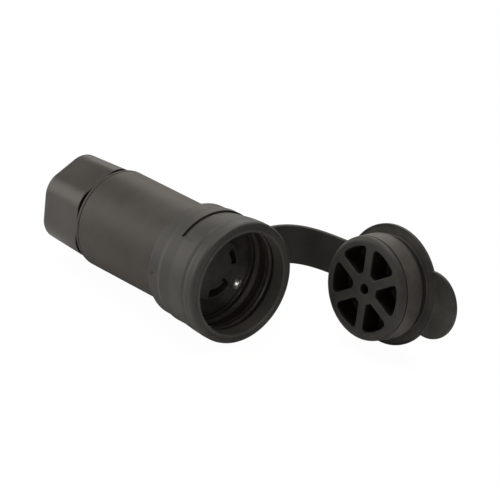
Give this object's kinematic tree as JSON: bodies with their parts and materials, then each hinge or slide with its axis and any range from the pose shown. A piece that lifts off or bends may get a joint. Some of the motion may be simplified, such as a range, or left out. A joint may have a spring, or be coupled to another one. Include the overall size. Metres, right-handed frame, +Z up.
{
  "type": "industrial cable coupler",
  "caption": "Watertight locking cable coupler with a rubber boot, a deep mouth with curved contact slots, a hexagonal cord grip nut and a tethered closure cap.",
  "frame": {"origin": "centre of the mouth, in the plane of its face", "axes": "+X along the coupler's axis, out of the mouth; +Z up; the strap and the closure cap lie towards +Y"},
  "size_m": [0.2051, 0.0947, 0.0621],
  "materials": {
    "boot_rubber": "matt moulded rubber",
    "housing_nylon": "matt moulded nylon",
    "face_nylon": "satin moulded nylon",
    "gasket_rubber": "matt rubber",
    "nut_nylon": "satin moulded nylon",
    "contact_brass": "rolled brass",
    "screw_steel": "plated steel",
    "ground_green": "green plated steel"
  },
  "bodies": {
    "coupler": {"boot_sleeve": "boot_rubber", "body_shell": "housing_nylon", "face_gasket": "gasket_rubber", "contact_face": "face_nylon", "contact_block": "housing_nylon", "block_cover": "housing_nylon", "line_contact_x": "contact_brass", "line_contact_y": "contact_brass", "line_contact_z": "contact_brass", "ground_contact": "contact_brass", "clamp_plates": "screw_steel", "terminal_screws": "screw_steel", "ground_screw": "ground_green", "assembly_screws": "screw_steel", "assembly_inserts": "contact_brass", "neck_oring": "gasket_rubber", "cable_grommet": "gasket_rubber"},
    "strap": {"cap_strap": "boot_rubber"},
    "cap": {"closure_cap": "boot_rubber"},
    "washer": {"thrust_washer": "screw_steel"},
    "nut": {"gland_nut": "nut_nylon"}
  },
  "joints": [
    {"name": "cap_swing", "type": "hinge", "parent": "coupler", "child": "strap", "pos_m": [0.00383, 0.03691, -0.003], "axis": [0.0883, -0.0899, -0.992], "range_deg": [0, 94.41], "stiffness_Nm_per_rad": 0.02, "deforming": ["cap_strap"]},
    {"name": "cap_push", "type": "slide", "parent": "strap", "child": "cap", "axis": [0.0686, -0.9805, 0.184], "range_m": [0, 0.0203], "stiffness_N_per_m": 60},
    {"name": "nut_travel", "type": "slide", "parent": "coupler", "child": "washer", "axis": [-1, 0, 0], "range_m": [0, 0.004]},
    {"name": "nut_turn", "type": "hinge", "parent": "washer", "child": "nut", "pos_m": [-0.11, 0, 0], "axis": [-1, 0, 0], "range_deg": [0, 720]}
  ],
  "couplings": [
    {"joint": "nut_travel", "follows": "nut_turn", "m_per_rad": 0.000318}
  ]
}
